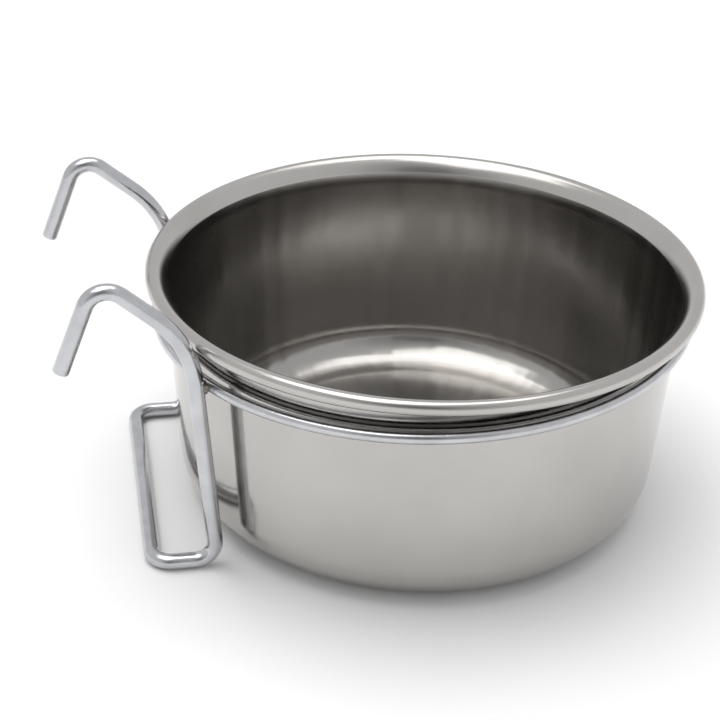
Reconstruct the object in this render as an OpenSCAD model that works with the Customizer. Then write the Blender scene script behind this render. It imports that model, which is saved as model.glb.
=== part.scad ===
// Hanging bowl feeder: a deep-drawn bowl that drops into a wire support ring.
// The ring is welded to one bent wire with two cage hooks and a flat foot.
// Origin: on the bowl's axis at the level of the table. +X points away from the hooks.

/* [Bowl] */
// Outer diameter over the rolled rim
rim_d = 142; // [138:1:150]
// Height from the table to the crest of the rim
bowl_h = 63.4; // [58:0.2:72]
// Outer diameter of the wall where it starts to flare into the rim
wall_top_d = 132; // [126:1:132]
// Outer diameter that the tapered wall would reach at table level
wall_base_d = 124.8; // [116:0.2:128]
// Thickness of the sheet
sheet = 0.6; // [0.5:0.1:0.8]
// Outer radius between the base and the wall
base_r = 12.6; // [6:0.2:16]
// Height of the flare between the wall and the rim crest
flare_h = 4.1; // [3.2:0.1:6]
// Half width of the rolled bead
bead_w = 1.6; // [1.4:0.1:2.6]
// Half height of the rolled bead
bead_h = 1.8; // [1.6:0.1:3]

/* [Support ring] */
// Diameter of the ring wire
ring_wire = 3; // [2.4:0.1:3.2]
// Radius of the ring, to the middle of its wire
ring_r = 67.9; // [67.8:0.1:69]
// Height of the ring's centre
ring_z = 53.4; // [48:0.2:56]
// How far the ring's centre sits towards the hooks
ring_shift = 0.3; // [0:0.1:0.4]
// Tilt of the ring, lower at the hooks
ring_tilt = 2; // [0:0.1:2.5]

/* [Hook wire] */
// Diameter of the hook wire
hook_wire = 4; // [3.5:0.1:4.5]
// Half the distance between the two hooks
hook_half_gap = 36.1; // [30:0.1:40]
// Reach of the hook tips from the bowl's axis
tip_reach = 92.8; // [90:0.2:98]
// Height of the hook tips
tip_z = 58; // [50:0.5:66]
// Reach of the hook crests, to the corner of their centre lines
crest_reach = 83.9; // [80:0.1:86]
// Height of the hook crests, to the corner of their centre lines
crest_z = 81.6; // [76:0.2:88]
// Height of the bend between arm and leg, to the corner of the centre lines
shoulder_z = 63.7; // [60:0.1:66]
// How far the leg leans inwards from that corner down to the foot
leg_lean = 5.35; // [3:0.05:7]
// Extra reach of the hook on the +Y side
far_hook_reach = 1.2; // [0:0.1:2]
// Reach of the foot's cross bar
foot_reach = 73.5; // [68:0.5:80]
// Bend radius at the hook crest
crest_bend = 5.2; // [4:0.1:7]
// Bend radius between arm and leg
shoulder_bend = 25.7; // [15:0.1:28]
// Bend radius where the leg turns into the foot
foot_bend = 5; // [4:0.1:7]
// Bend radius of the foot's two outer corners
corner_bend = 5; // [4:0.1:7]

/* [Welds] */
// Radius of each weld between ring and leg
weld_r = 2; // [2:0.1:2.1]

/* [Hidden] */
around = 180;
wire_fn = 48;
fit_gap = 0.03;
weld_gap = 0.02;
weld_drop = 0.3;
join_swell = 0.01;
hook_r = hook_wire / 2;
ring_wire_r = ring_wire / 2;
crest_r = rim_d / 2 - bead_w;
bead_z = bowl_h - bead_h;
flare_z = bowl_h - flare_h;
wall_r = wall_top_d / 2;
flare_w = crest_r - wall_r + sheet;
taper = (wall_top_d - wall_base_d) / 2 / flare_z;
taper_deg = atan(taper);
base_arc_r = wall_base_d / 2 + taper * base_r - base_r / cos(taper_deg);
curl_end = -150;

// Where on its ellipse the flare starts, which gives the crease above the wall its angle.
flare_start = 50;

// The leg's centre line at the ring's height, placed so that the wires just touch.
weld_z = ring_z - sin(ring_tilt) * (ring_r + ring_wire_r) * 0.87;
leg_gap = ring_r + ring_wire_r + hook_r + fit_gap;
leg_reach_at_ring = ring_shift + sqrt(leg_gap * leg_gap - hook_half_gap * hook_half_gap);
leg_slope = leg_lean / (shoulder_z - hook_r);
shoulder_reach = leg_reach_at_ring + leg_slope * (shoulder_z - weld_z);
toe_reach = shoulder_reach - leg_lean;
weld_turn = asin(hook_half_gap / leg_gap);

function ellipse_arc(r, z, w, h, a0, a1, steps) =
    [for (i = [0 : steps]) let (a = a0 + (a1 - a0) * i / steps) [r + w * cos(a), z + h * sin(a)]];

// One face of the sheet, from the middle of the base to the curled edge of the rim.
// The depth is how far that face lies inside the outer face.
function sheet_face(depth) = concat(
    [[0, depth]],
    ellipse_arc(base_arc_r, base_r, base_r - depth, base_r - depth, -90, -taper_deg, 12));

function flare_face(depth) =
    let (w = (flare_w - depth) / cos(flare_start), h = (flare_h - depth) / (1 - sin(flare_start)))
    ellipse_arc(crest_r, bowl_h - depth - h, w, h, 180 - flare_start, 90, 12);

function rim_face(depth) = concat(
    flare_face(depth),
    ellipse_arc(crest_r, bead_z, bead_w - depth, bead_h - depth, 78, curl_end, 20));

function reversed(points) = [for (i = [len(points) - 1 : -1 : 0]) points[i]];

module bowl() {
    // The inside of the base and wall runs on into the outside of the rolled rim.
    color([0.74, 0.73, 0.72])
        rotate_extrude($fn = around)
            polygon(concat(
                sheet_face(sheet), rim_face(0),
                reversed(rim_face(sheet)), reversed(sheet_face(0))));
}

// A ring of round wire about Z; extra makes its wire thicker.
module ring_torus(extra) {
    translate([-ring_shift, 0, ring_z])
        rotate([0, -ring_tilt, 0])
            rotate_extrude($fn = around)
                translate([ring_r, 0]) circle(r = ring_wire_r + extra, $fn = wire_fn);
}

module support_ring() {
    color([0.76, 0.76, 0.8]) ring_torus(0);
}

function unit(v) = v / norm(v);

// Corner points of one side of the hook wire, from its tip to the foot's cross bar.
function hook_corners(side) = let (more = side > 0 ? far_hook_reach : 0) [
    [-tip_reach - more, side * hook_half_gap, tip_z],
    [-crest_reach - more, side * hook_half_gap, crest_z],
    [-shoulder_reach, side * hook_half_gap, shoulder_z],
    [-toe_reach, side * hook_half_gap, hook_r],
    [-foot_reach, side * hook_half_gap, hook_r]];

// The two hooks are the two ends of one wire, so their corners run on through the foot.
wire_corners = concat(hook_corners(-1), reversed(hook_corners(1)));
wire_bends = [crest_bend, shoulder_bend, foot_bend, corner_bend,
    corner_bend, foot_bend, shoulder_bend, crest_bend];

function leg_in(k) = unit(wire_corners[k] - wire_corners[k - 1]);
function leg_out(k) = unit(wire_corners[k + 1] - wire_corners[k]);
function bend_angle(k) = acos(leg_in(k) * leg_out(k));
function bend_setback(k) = wire_bends[k - 1] * tan(bend_angle(k) / 2);
function bend_start(k) = wire_corners[k] - leg_in(k) * bend_setback(k);
function bend_end(k) = wire_corners[k] + leg_out(k) * bend_setback(k);

// Turns the frame so that X is a, Y is b and Z is their cross product.
module in_frame(at, a, b) {
    c = cross(a, b);
    multmatrix([
        [a[0], b[0], c[0], at[0]],
        [a[1], b[1], c[1], at[1]],
        [a[2], b[2], c[2], at[2]],
        [0, 0, 0, 1]])
        children();
}

// A vector square to v, for a straight length's frame.
function square_to(v) = unit(cross(v, abs(v[1]) > 0.9 ? [0, 0, 1] : [0, 1, 0]));

module straight(from, to, r) {
    along = unit(to - from);
    side = square_to(along);
    in_frame(from, side, cross(along, side))
        cylinder(r = r, h = norm(to - from), $fn = wire_fn);
}

module bend(k) {
    inward = unit(leg_out(k) - leg_in(k));
    centre = wire_corners[k] + inward * wire_bends[k - 1] / cos(bend_angle(k) / 2);
    a = unit(bend_start(k) - centre);
    in_frame(centre, a, leg_in(k))
        rotate_extrude(angle = bend_angle(k), $fn = around)
            translate([wire_bends[k - 1], 0]) circle(r = hook_r, $fn = wire_fn);
}

module hook_frame() {
    color([0.77, 0.77, 0.82]) {
        last = len(wire_corners) - 1;
        straight(wire_corners[0], bend_start(1), hook_r);
        for (k = [1 : last - 1]) bend(k);
        for (k = [1 : last - 2]) straight(bend_end(k), bend_start(k + 1), hook_r);
        straight(bend_end(last - 1), wire_corners[last], hook_r);
        // A ball a hair wider than the wire covers each join, so that the wire is one solid.
        for (k = [1 : last - 1]) {
            translate(bend_start(k)) sphere(r = hook_r + join_swell, $fn = wire_fn);
            translate(bend_end(k)) sphere(r = hook_r + join_swell, $fn = wire_fn);
        }
    }
}

// Metal squeezed out where the ring is welded to a leg, on the given side.
module leg_weld(side) {
    away = ring_r + ring_wire_r;
    at = [-ring_shift - away * cos(weld_turn), side * away * sin(weld_turn), weld_z - weld_drop];
    leg = side < 0 ? 2 : 6;
    difference() {
        translate(at) sphere(r = weld_r, $fn = wire_fn);
        ring_torus(weld_gap);
        straight(wire_corners[leg], wire_corners[leg + 1], hook_r + weld_gap);
    }
}

module near_leg_weld() {
    color([0.5, 0.46, 0.42]) leg_weld(-1);
}

module far_leg_weld() {
    color([0.5, 0.46, 0.42]) leg_weld(1);
}

bowl();
support_ring();
hook_frame();
near_leg_weld();
far_leg_weld();
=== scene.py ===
import math

import bmesh
import bpy
from mathutils import Matrix, Vector, noise


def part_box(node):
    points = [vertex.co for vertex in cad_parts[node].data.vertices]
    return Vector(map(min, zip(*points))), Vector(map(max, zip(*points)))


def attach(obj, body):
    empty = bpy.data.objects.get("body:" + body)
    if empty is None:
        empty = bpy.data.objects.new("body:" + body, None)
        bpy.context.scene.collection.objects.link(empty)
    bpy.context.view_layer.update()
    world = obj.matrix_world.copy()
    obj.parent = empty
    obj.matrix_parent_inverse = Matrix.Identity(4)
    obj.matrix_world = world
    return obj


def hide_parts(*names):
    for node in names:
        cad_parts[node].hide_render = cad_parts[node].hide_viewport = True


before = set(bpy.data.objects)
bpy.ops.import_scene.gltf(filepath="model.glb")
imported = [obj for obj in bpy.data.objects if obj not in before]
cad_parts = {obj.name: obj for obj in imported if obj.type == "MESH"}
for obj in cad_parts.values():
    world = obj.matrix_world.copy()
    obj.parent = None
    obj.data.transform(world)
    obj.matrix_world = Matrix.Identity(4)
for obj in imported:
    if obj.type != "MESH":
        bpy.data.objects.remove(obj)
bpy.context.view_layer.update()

MM = 0.001
TAU = 2 * math.pi

# ---------------------------------------------------------------- sizes, in metres
bowl_lo, bowl_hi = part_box("bowl")
ring_lo, ring_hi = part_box("support_ring")
hook_lo, hook_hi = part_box("hook_frame")

RIM_R = (bowl_hi[0] - bowl_lo[0]) / 2
BOWL_H = bowl_hi[2]
SHEET = 0.6 * MM
BEAD_W = 1.6 * MM
BEAD_H = 1.8 * MM
BEAD_R = RIM_R - BEAD_W
BEAD_Z = BOWL_H - BEAD_H
FLARE_H = 4.1 * MM
FLARE_Z = BOWL_H - FLARE_H
WALL_R = 66.0 * MM
WALL_BASE_R = 62.4 * MM
FLARE_W = BEAD_R - WALL_R + SHEET
FLARE_START = math.radians(50)
FLARE_A = FLARE_W / math.cos(FLARE_START)
FLARE_B = FLARE_H / (1 - math.sin(FLARE_START))
CORNER_R = 12.6 * MM
CURL_END = math.radians(-150)
TAPER = (WALL_R - WALL_BASE_R) / FLARE_Z
CORNER_MID_R = WALL_BASE_R + TAPER * CORNER_R - CORNER_R / math.cos(math.atan(TAPER))

RING_WIRE_R = 1.5 * MM
RING_R = 67.9 * MM
RING_SHIFT = 0.3 * MM
RING_TILT = math.radians(2)
RING_Z = (ring_lo[2] + ring_hi[2]) / 2

HOOK_R = 2.0 * MM
HALF_GAP = (hook_hi[1] - hook_lo[1]) / 2 - HOOK_R
TIP = (92.8 * MM, 58.0 * MM)
CREST = (83.9 * MM, 81.6 * MM)
SHOULDER_Z = 63.7 * MM
LEG_LEAN = 5.35 * MM
TOUCH_GAP = 0.03 * MM
WELD_SIDE = 0.87
LEG_GAP = RING_R + RING_WIRE_R + HOOK_R + TOUCH_GAP
LEG_Z = RING_Z - math.sin(RING_TILT) * (RING_R + RING_WIRE_R) * WELD_SIDE
LEG_SLOPE = LEG_LEAN / (SHOULDER_Z - HOOK_R)
LEG_X = RING_SHIFT + math.sqrt(LEG_GAP ** 2 - HALF_GAP ** 2)
SHOULDER_X = LEG_X + LEG_SLOPE * (SHOULDER_Z - LEG_Z)
TOE_X = SHOULDER_X - LEG_LEAN
FOOT_X = 73.5 * MM
FAR_REACH = 1.2 * MM
CREST_BEND = 5.2 * MM
SHOULDER_BEND = 25.7 * MM
FOOT_BEND = 5.0 * MM
SIDE_BENDS = [CREST_BEND, SHOULDER_BEND, FOOT_BEND, FOOT_BEND]
INSET = 0.01 * MM

# How finely the pieces are divided.
AROUND = 320
RING_SIDES = 28
HOOK_SIDES = 36
WIRE_STEP = 0.7 * MM
FLOOR_STEPS, CORNER_STEPS, WALL_STEPS, FLARE_STEPS, BEAD_STEPS = 16, 22, 12, 20, 36


# ---------------------------------------------------------------- node helpers
def node_of(tree, kind, **inputs):
    n = tree.nodes.new(kind)
    for key, value in inputs.items():
        setattr(n, key, value)
    return n


def math_node(tree, op, a, b=None):
    n = node_of(tree, "ShaderNodeMath", operation=op)
    for i, v in enumerate((a, b)):
        if isinstance(v, (int, float)):
            n.inputs[i].default_value = v
        elif v is not None:
            tree.links.new(v, n.inputs[i])
    return n.outputs[0]


def ramp(tree, fac, stops):
    n = tree.nodes.new("ShaderNodeValToRGB")
    e = n.color_ramp.elements
    while len(e) < len(stops):
        e.new(0.5)
    for el, (pos, col) in zip(e, stops):
        el.position = pos
        el.color = (*col, 1)
    tree.links.new(fac, n.inputs[0])
    return n.outputs[0]


def noise_node(tree, vector, scale, detail=3.0, rough=0.5):
    n = tree.nodes.new("ShaderNodeTexNoise")
    n.inputs["Scale"].default_value = scale
    n.inputs["Detail"].default_value = detail
    n.inputs["Roughness"].default_value = rough
    tree.links.new(vector, n.inputs["Vector"])
    return n.outputs["Fac"]


def map_range(tree, value, lo, hi, to_lo, to_hi):
    n = tree.nodes.new("ShaderNodeMapRange")
    tree.links.new(value, n.inputs["Value"])
    for key, v in (("From Min", lo), ("From Max", hi), ("To Min", to_lo), ("To Max", to_hi)):
        n.inputs[key].default_value = v
    return n.outputs[0]


def bump(tree, height, strength, distance, normal=None):
    n = tree.nodes.new("ShaderNodeBump")
    n.inputs["Strength"].default_value = strength
    n.inputs["Distance"].default_value = distance
    tree.links.new(height, n.inputs["Height"])
    if normal is not None:
        tree.links.new(normal, n.inputs["Normal"])
    return n.outputs[0]


def new_material(name):
    m = bpy.data.materials.new(name)
    m.use_nodes = True
    t = m.node_tree
    return m, t, t.nodes["Principled BSDF"]


def round_coords(tree, across, along):
    """Coordinates in which marks run round the bowl: along sets how often they change round
    the axis, across how often over the radius and the height. Also returns the plain ones."""
    tc = tree.nodes.new("ShaderNodeTexCoord")
    sep = tree.nodes.new("ShaderNodeSeparateXYZ")
    tree.links.new(tc.outputs["Object"], sep.inputs[0])
    x, y, z = sep.outputs
    squares = [math_node(tree, "MULTIPLY", v, v) for v in (x, y)]
    rr = math_node(tree, "SQRT", math_node(tree, "ADD", *squares))
    away = math_node(tree, "MAXIMUM", rr, 1e-4)
    c = math_node(tree, "DIVIDE", x, away)
    s = math_node(tree, "DIVIDE", y, away)
    rz = math_node(tree, "MULTIPLY", math_node(tree, "ADD", rr, z), across)
    comb = tree.nodes.new("ShaderNodeCombineXYZ")
    tree.links.new(rz, comb.inputs[2])
    tree.links.new(math_node(tree, "MULTIPLY", c, along), comb.inputs[0])
    tree.links.new(math_node(tree, "MULTIPLY", s, along), comb.inputs[1])
    return comb.outputs[0], tc.outputs["Object"]


def bowl_material(name, polish, streak, tone_and_shade):
    """Drawn steel. polish is its lowest roughness, streak how strong the upright draw marks
    are, the last argument its brightness: the steel's own tone, and where it is lowered for the
    inside, also painted shade."""
    m, t, b = new_material(name)
    b.inputs["Metallic"].default_value = 1.0
    b.inputs["Anisotropic"].default_value = 0.25
    lines, plain = round_coords(t, 2600.0, 3.0)
    soft, _ = round_coords(t, 90.0, 2.0)
    upright, _ = round_coords(t, 3.0, 9.0)
    fine = noise_node(t, lines, 1.0, 2.0, 0.55)
    broad = noise_node(t, soft, 1.0, 3.0, 0.5)
    drawn = noise_node(t, upright, 1.0, 1.0, 0.4)
    cloud = noise_node(t, plain, 35.0, 4.0, 0.55)
    smear = noise_node(t, plain, 11.0, 3.0, 0.5)
    # Colour scaled by the last argument; the inside's lower value here is painted shade.
    low = [c * tone_and_shade * 0.95 for c in (0.515, 0.498, 0.475)]
    high = [c * tone_and_shade * 1.05 for c in (0.515, 0.500, 0.480)]
    t.links.new(ramp(t, cloud, [(0.30, low), (0.70, high)]), b.inputs["Base Color"])
    rough = map_range(t, smear, 0.35, 0.7, 0.0, 0.02)
    rough = math_node(t, "ADD", map_range(t, drawn, 0.35, 0.7, 0.0, streak * 0.06), rough)
    rough = math_node(t, "ADD", map_range(t, fine, 0.3, 0.7, 0.0, 0.02), rough)
    rough = math_node(t, "ADD", map_range(t, broad, 0.3, 0.7, polish, polish * 1.3), rough)
    t.links.new(rough, b.inputs["Roughness"])
    n1 = bump(t, broad, 0.08, 0.00008)
    n2 = bump(t, drawn, 0.35 * streak, 0.00070, n1)
    n3 = bump(t, fine, 0.18, 0.000004, n2)
    t.links.new(n3, b.inputs["Normal"])
    return m


def wire_material():
    m, t, b = new_material("bright_plated_wire")
    b.inputs["Metallic"].default_value = 1.0
    tc = t.nodes.new("ShaderNodeTexCoord")
    v = tc.outputs["Object"]
    cloud = noise_node(t, v, 160.0, 4.0, 0.6)
    grain = noise_node(t, v, 2200.0, 2.0, 0.6)
    vor = t.nodes.new("ShaderNodeTexVoronoi")
    vor.inputs["Scale"].default_value = 620.0
    t.links.new(v, vor.inputs["Vector"])
    pit = map_range(t, vor.outputs["Distance"], 0.0, 0.22, 0.0, 1.0)
    colour = ramp(t, cloud, [(0.28, (0.49, 0.495, 0.51)), (0.72, (0.61, 0.615, 0.635))])
    t.links.new(colour, b.inputs["Base Color"])
    clouded = map_range(t, cloud, 0.3, 0.7, 0.12, 0.20)
    grained = map_range(t, grain, 0.3, 0.7, 0.0, 0.05)
    t.links.new(math_node(t, "ADD", clouded, grained), b.inputs["Roughness"])
    n1 = bump(t, cloud, 0.35, 0.00010)
    n2 = bump(t, pit, 0.45, 0.00005, n1)
    n3 = bump(t, grain, 0.20, 0.000008, n2)
    t.links.new(n3, b.inputs["Normal"])
    return m


def weld_material():
    m, t, b = new_material("heat_tinted_weld")
    b.inputs["Metallic"].default_value = 1.0
    tc = t.nodes.new("ShaderNodeTexCoord")
    v = tc.outputs["Object"]
    tint = noise_node(t, v, 700.0, 4.0, 0.6)
    grain = noise_node(t, v, 3000.0, 3.0, 0.6)
    burnt, brown, bare = (0.10, 0.08, 0.07), (0.30, 0.25, 0.20), (0.44, 0.42, 0.42)
    colour = ramp(t, tint, [(0.25, burnt), (0.50, brown), (0.72, bare)])
    t.links.new(colour, b.inputs["Base Color"])
    t.links.new(map_range(t, grain, 0.3, 0.7, 0.28, 0.5), b.inputs["Roughness"])
    t.links.new(bump(t, tint, 0.6, 0.0002, bump(t, grain, 0.3, 0.00005)), b.inputs["Normal"])
    return m


def floor_material():
    m, t, b = new_material("pale_floor")
    tc = t.nodes.new("ShaderNodeTexCoord")
    cloud = noise_node(t, tc.outputs["Object"], 6.0, 3.0, 0.5)
    colour = ramp(t, cloud, [(0.3, (0.86, 0.86, 0.86)), (0.7, (0.90, 0.90, 0.90))])
    t.links.new(colour, b.inputs["Base Color"])
    b.inputs["Roughness"].default_value = 0.7
    b.inputs["Specular IOR Level"].default_value = 0.1
    return m


# ---------------------------------------------------------------- mesh helpers
def add_object(name, bm, *materials):
    me = bpy.data.meshes.new(name)
    bmesh.ops.recalc_face_normals(bm, faces=bm.faces)
    for f in bm.faces:
        f.smooth = True
    bm.to_mesh(me)
    bm.free()
    o = bpy.data.objects.new(name, me)
    for m in materials:
        o.data.materials.append(m)
    bpy.context.scene.collection.objects.link(o)
    return o


def circle(bm, mid, across, up, radius, count):
    """New vertices on a circle round mid, in the plane of the two directions."""
    turns = [TAU * k / count for k in range(count)]
    return [bm.verts.new(mid + (across * math.cos(a) + up * math.sin(a)) * radius) for a in turns]


def band(bm, a, b):
    """Faces between two circles of vertices with the same count."""
    faces = []
    for k in range(len(a)):
        n = (k + 1) % len(a)
        faces.append(bm.faces.new((a[k], a[n], b[n], b[k])))
    return faces


def cap(bm, tip, ring):
    """Faces from one vertex to each side of a circle of vertices."""
    count = len(ring)
    return [bm.faces.new((tip, ring[k], ring[(k + 1) % count])) for k in range(count)]


def lathe(name, profile, count, finishes):
    """A closed profile of (radius, height) turned round Z, whose first and last points lie on
    the axis. finishes gives the material up to each profile index."""
    bm = bmesh.new()
    x_axis, y_axis = Vector((1, 0, 0)), Vector((0, 1, 0))
    first = bm.verts.new((0, 0, profile[0][1]))
    rings = [circle(bm, Vector((0, 0, z)), x_axis, y_axis, r, count) for r, z in profile[1:-1]]
    last = bm.verts.new((0, 0, profile[-1][1]))
    steps = [cap(bm, first, rings[0])]
    steps += [band(bm, a, b) for a, b in zip(rings, rings[1:])]
    steps += [cap(bm, last, rings[-1])]
    for i, faces in enumerate(steps):
        slot = next(k for k, (_, end) in enumerate(finishes) if i < end)
        for f in faces:
            f.material_index = slot
    return add_object(name, bm, *[m for m, _ in finishes])


def filleted(corners, radii, step):
    """Points along a wire through the corners, bent to the radii at all but the end ones."""
    points = [corners[0]]
    for i in range(1, len(corners) - 1):
        p, r = corners[i], radii[i - 1]
        u = (corners[i - 1] - p).normalized()
        v = (corners[i + 1] - p).normalized()
        half = u.angle(v) / 2
        cut = r / math.tan(half)
        mid = p + (u + v).normalized() * (r / math.sin(half))
        a, b = p + u * cut, p + v * cut
        turn = math.pi - 2 * half
        n = max(6, int(turn * r / step))
        ea, eb = a - mid, b - mid
        for k in range(n + 1):
            w = k / n
            swing = ea * math.sin((1 - w) * turn) + eb * math.sin(w * turn)
            points.append(mid + swing / math.sin(turn))
    points.append(corners[-1])
    out = [points[0]]
    for p in points[1:]:
        gap = (p - out[-1]).length
        pieces = max(1, int(gap / (step * 1.5)))
        start = out[-1]
        for k in range(1, pieces + 1):
            between = start.lerp(p, k / pieces)
            if (between - out[-1]).length > 1e-6:
                out.append(between)
    return out


def wire(name, path, radius, sides, material, closed=False):
    """A round wire along the path. An open one ends in a flat cut with a worn edge."""
    bm = bmesh.new()
    count = len(path)
    stations = []
    side = None
    for i, p in enumerate(path):
        if closed:
            t = (path[(i + 1) % count] - path[i - 1]).normalized()
        else:
            t = (path[min(i + 1, count - 1)] - path[max(i - 1, 0)]).normalized()
        if side is None:
            side = t.orthogonal().normalized()
        side = (side - t * side.dot(t)).normalized()
        stations.append((p, t, side, radius))
    if not closed:
        worn = 0.12 * radius
        edge = [(worn, 0.0), (worn * 0.4, worn * 0.4), (0.0, worn)]
        p, t, s, r = stations[0]
        stations[:1] = [(p + t * along, t, s, r - less) for less, along in edge]
        p, t, s, r = stations[-1]
        stations[-1:] = [(p - t * along, t, s, r - less) for less, along in reversed(edge)]
    loops = [circle(bm, p, s, t.cross(s), r, sides) for p, t, s, r in stations]
    for a, b in zip(loops, loops[1:]):
        band(bm, a, b)
    if closed:
        band(bm, loops[-1], loops[0])
    else:
        for loop, (p, t, s, r) in ((loops[0], stations[0]), (loops[-1], stations[-1])):
            inner = circle(bm, p, s, t.cross(s), r * 0.92, sides)
            band(bm, loop, inner)
            bm.faces.new(inner)
    return add_object(name, bm, material)


# ---------------------------------------------------------------- the bowl
def bowl_profile():
    """The sheet's visible face from the floor's centre over the rim to the curl's end, then
    back along its other face. Also returns where the inside and the rim end."""
    lean = math.atan(TAPER)
    inner_corner = CORNER_R - SHEET
    face = [(CORNER_MID_R * k / FLOOR_STEPS, SHEET, 0.0, 1.0) for k in range(1, FLOOR_STEPS + 1)]
    for k in range(1, CORNER_STEPS + 1):
        a = -math.pi / 2 + (math.pi / 2 - lean) * k / CORNER_STEPS
        r, z = CORNER_MID_R + inner_corner * math.cos(a), CORNER_R + inner_corner * math.sin(a)
        face.append((r, z, -math.cos(a), -math.sin(a)))
    start, end = face[-1], (WALL_R - SHEET * math.cos(lean), FLARE_Z)
    for k in range(1, WALL_STEPS + 1):
        w = k / (WALL_STEPS + 1)
        r, z = [start[i] + (end[i] - start[i]) * w for i in (0, 1)]
        face.append((r, z, -math.cos(lean), math.sin(lean)))
    for k in range(FLARE_STEPS + 1):
        a = math.pi - FLARE_START - (math.pi / 2 - FLARE_START) * k / FLARE_STEPS
        n = Vector((math.cos(a) / FLARE_A, math.sin(a) / FLARE_B)).normalized()
        r, z = BEAD_R + FLARE_A * math.cos(a), BOWL_H - FLARE_B + FLARE_B * math.sin(a)
        face.append((r, z, n.x, n.y))
    for k in range(1, BEAD_STEPS + 1):
        a = math.pi / 2 + (CURL_END - math.pi / 2) * k / BEAD_STEPS
        n = Vector((math.cos(a) / BEAD_W, math.sin(a) / BEAD_H)).normalized()
        face.append((BEAD_R + BEAD_W * math.cos(a), BEAD_Z + BEAD_H * math.sin(a), n.x, n.y))
    back = [(r - nr * SHEET, z - nz * SHEET) for r, z, nr, nz in face]
    front = [(r, z) for r, z, _, _ in face]
    tip_a, tip_b = Vector(front[-1]), Vector(back[-1])
    edge = [tuple(tip_a.lerp(tip_b, w)) for w in (0.06, 0.5, 0.94)]
    inside_end = 1 + FLOOR_STEPS + CORNER_STEPS + WALL_STEPS
    return [(0.0, SHEET)] + front + edge + back[::-1] + [(0.0, 0.0)], inside_end, len(front)


# ---------------------------------------------------------------- materials and pieces
# The inside's colour is darkened (0.80 against 0.95 outside) as painted shade of the hollow; its satin
# finish is its rougher surface.
satin_and_painted_shade = bowl_material("satin_steel_inside_painted_shade", 0.135, 1.0, 0.80)
rolled = bowl_material("rolled_steel_rim", 0.15, 0.15, 0.98)
bright = bowl_material("polished_steel_outside", 0.07, 0.2, 0.95)
plated, tinted = wire_material(), weld_material()

profile, inside_end, rim_end = bowl_profile()
finishes = [(satin_and_painted_shade, inside_end), (rolled, rim_end), (bright, len(profile))]
bowl = lathe("feed_bowl", profile, AROUND, finishes)
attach(bowl, "bowl")
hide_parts("bowl")

tilt = Matrix.Rotation(-RING_TILT, 3, "Y")
ring_mid = Vector((-RING_SHIFT, 0, RING_Z))
ring_turns = [TAU * k / AROUND for k in range(AROUND)]
ring_path = [tilt @ Vector((RING_R * math.cos(a), RING_R * math.sin(a), 0)) + ring_mid for a in ring_turns]
ring = wire("ring_wire", ring_path, RING_WIRE_R, RING_SIDES, plated, closed=True)
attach(ring, "holder")
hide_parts("support_ring")


def half_wire(y, more):
    """The wire's corners from one hook's tip to the middle of the foot."""
    upper = [(TIP[0] + more, TIP[1]), (CREST[0] + more, CREST[1]), (SHOULDER_X, SHOULDER_Z)]
    lower = [(TOE_X, HOOK_R), (FOOT_X, HOOK_R)]
    return [Vector((-x, y, z)) for x, z in upper + lower]


corners = half_wire(-HALF_GAP, 0.0) + half_wire(HALF_GAP, FAR_REACH)[::-1]
hook_path = filleted(corners, SIDE_BENDS + SIDE_BENDS[::-1], WIRE_STEP)
hook = wire("hook_wire", hook_path, HOOK_R - INSET, HOOK_SIDES, plated)
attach(hook, "holder")
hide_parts("hook_frame")


def weld(name, cad_node, seed):
    """An uneven bead of weld metal that fills the box of the CAD's weld."""
    lo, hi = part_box(cad_node)
    mid = (Vector(lo) + Vector(hi)) / 2
    half = (Vector(hi) - Vector(lo)) / 2
    bm = bmesh.new()
    bmesh.ops.create_icosphere(bm, subdivisions=5, radius=1.0)
    for v in bm.verts:
        n = v.co.normalized()
        swell = 0.10 * noise.noise(n * 2.1 + Vector((seed, 0, 0)))
        ripple = 0.04 * noise.noise(n * 6.0 + Vector((0, seed, 0)))
        bulge = min(0.90 + swell + ripple, 0.99)
        v.co = mid + Vector((n.x * half.x, n.y * half.y, n.z * half.z)) * bulge
    o = add_object(name, bm, tinted)
    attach(o, "holder")
    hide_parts(cad_node)


weld("weld_near", "near_leg_weld", 1.3)
weld("weld_far", "far_leg_weld", 5.7)

# ---------------------------------------------------------------- floor, world, light
FLOOR_HALF = 8.0
FLOOR_DROP = 0.05 * MM
bm = bmesh.new()
bmesh.ops.create_grid(bm, x_segments=8, y_segments=8, size=FLOOR_HALF)
ground = add_object("ground", bm, floor_material())
ground.location.z = -FLOOR_DROP

world = bpy.data.worlds.new("studio")
bpy.context.scene.world = world
world.use_nodes = True
wt = world.node_tree
background = wt.nodes["Background"]
coord = wt.nodes.new("ShaderNodeTexCoord")
split = wt.nodes.new("ShaderNodeSeparateXYZ")
wt.links.new(coord.outputs["Generated"], split.inputs[0])
level, low, high, overhead = (0.78, 0.78, 0.79), (0.76, 0.76, 0.77), (0.74, 0.74, 0.75), (0.80, 0.80, 0.80)
tent = ramp(wt, split.outputs[2], [(0.0, level), (0.25, low), (0.75, high), (1.0, overhead)])

# The room is darker towards the camera, and darkest close round it.
toward = wt.nodes.new("ShaderNodeVectorMath")
toward.operation = "DOT_PRODUCT"
wt.links.new(coord.outputs["Generated"], toward.inputs[0])
toward.inputs[1].default_value = Vector((-0.20, -0.88, 0.42)).normalized()
greys = [(0.78, 1.0), (0.93, 0.66), (0.965, 0.60), (0.985, 0.30)]
shade = ramp(wt, toward.outputs["Value"], [(place, (grey, grey, grey)) for place, grey in greys])
dim = wt.nodes.new("ShaderNodeVectorMath")
dim.operation = "MULTIPLY"
wt.links.new(tent, dim.inputs[0])
wt.links.new(shade, dim.inputs[1])
wt.links.new(dim.outputs[0], background.inputs["Color"])
background.inputs["Strength"].default_value = 1.0


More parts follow.
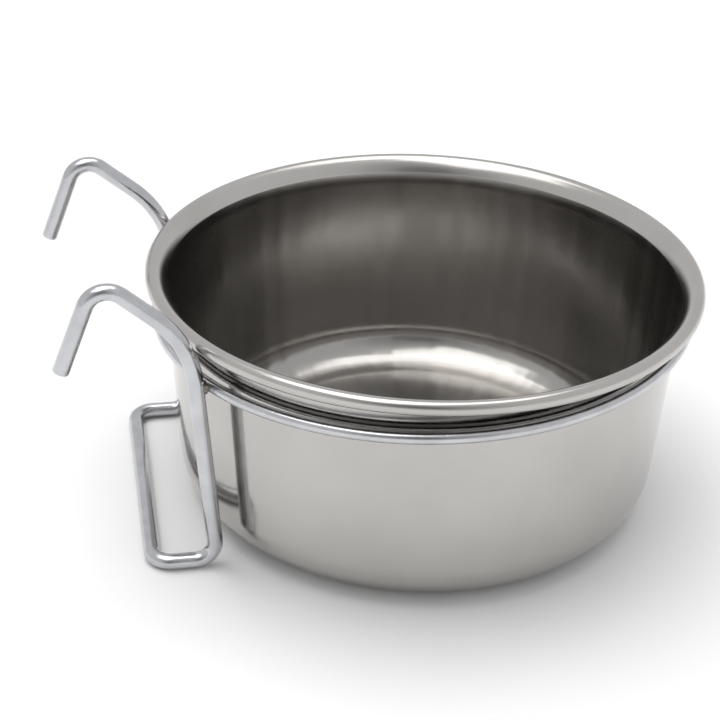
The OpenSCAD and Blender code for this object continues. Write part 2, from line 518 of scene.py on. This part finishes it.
def panel(name, place, aim, size, radiance):
    """A rectangular softbox that looks as bright as radiance and faces the aim."""
    light = bpy.data.lights.new(name, "AREA")
    light.shape = "RECTANGLE"
    light.size, light.size_y = size
    light.energy = radiance * math.pi * size[0] * size[1]
    o = bpy.data.objects.new(name, light)
    o.location = place
    o.rotation_euler = (Vector(aim) - Vector(place)).to_track_quat("-Z", "Y").to_euler()
    bpy.context.scene.collection.objects.link(o)
    return o


key = panel("key_softbox", (-0.40, -0.24, 1.17), (0, 0, 0.03), (0.90, 0.80), 1.7)
key.visible_diffuse = False
panel("ceiling", (0, 0.30, 3.0), (0, 0.2, 0), (2.8, 1.9), 1.65)
rear = panel("rear_softbox", (-0.40, 0.40, 1.60), (0, 0, 0), (1.6, 1.6), 1.5)
rear.visible_glossy = False

# ---------------------------------------------------------------- camera
PICTURE = 720
SENSOR = 36.0
cam_data = bpy.data.cameras.new("view")
cam = bpy.data.objects.new("view", cam_data)
bpy.context.scene.collection.objects.link(cam)
bpy.context.scene.camera = cam
CAMERA_AT = Vector((-0.0889640, -0.3673923, 0.2499362))
PITCH, YAW, ROLL = math.radians(29.8686), math.radians(11.2587), math.radians(2.0165)
FOCAL, OFF_X, OFF_Y = 1648.377, 0.417, 1.227
level_run = math.cos(PITCH)
fwd = Vector((math.sin(YAW) * level_run, math.cos(YAW) * level_run, -math.sin(PITCH)))
right = fwd.cross(Vector((0, 0, 1))).normalized()
up = right.cross(fwd)
cam_x = right * math.cos(ROLL) + up * math.sin(ROLL)
cam_y = -right * math.sin(ROLL) + up * math.cos(ROLL)
turn = Matrix((cam_x, cam_y, -fwd)).transposed().to_4x4()
cam.matrix_world = Matrix.Translation(CAMERA_AT) @ turn
cam_data.sensor_width = SENSOR
cam_data.lens = FOCAL / PICTURE * SENSOR
cam_data.shift_x = -OFF_X / PICTURE
cam_data.shift_y = OFF_Y / PICTURE
cam_data.clip_start = 0.01
cam_data.clip_end = 60.0
cam_data.dof.use_dof = False

bpy.context.scene.view_settings.view_transform = "Standard"
